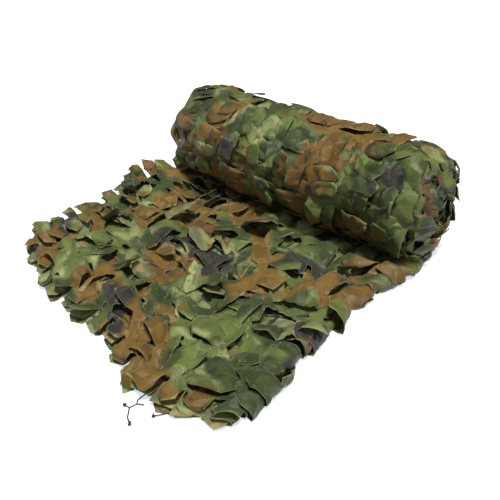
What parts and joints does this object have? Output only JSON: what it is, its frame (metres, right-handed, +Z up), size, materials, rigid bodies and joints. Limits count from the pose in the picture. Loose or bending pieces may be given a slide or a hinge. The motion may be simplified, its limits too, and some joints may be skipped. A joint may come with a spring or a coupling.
{
  "type": "partly rolled camouflage net",
  "caption": "Woodland camouflage net of leaf-cut printed cloth on a cord net, folded in half, rolled up, with its loose end laid out flat.",
  "frame": {"origin": "bottom centre of the bounding box, on the surface that the net lies on", "axes": "+Z up; +X along the roll, towards the side where the net is folded; +Y from the laid-out end towards the roll"},
  "size_m": [0.879, 0.9376, 0.2966],
  "materials": {
    "printed_cloth_laid": "woven polyester with a woodland print of greens, brown and black, satin",
    "printed_cloth_rolled": "woven polyester with a woodland print of greens, brown and black, satin",
    "cord": "knotted dark green net cord"
  },
  "bodies": {
    "root": {"garnish_laid_end": "printed_cloth_laid", "garnish_roll": "printed_cloth_rolled", "cord_net": "cord"}
  },
  "joints": []
}
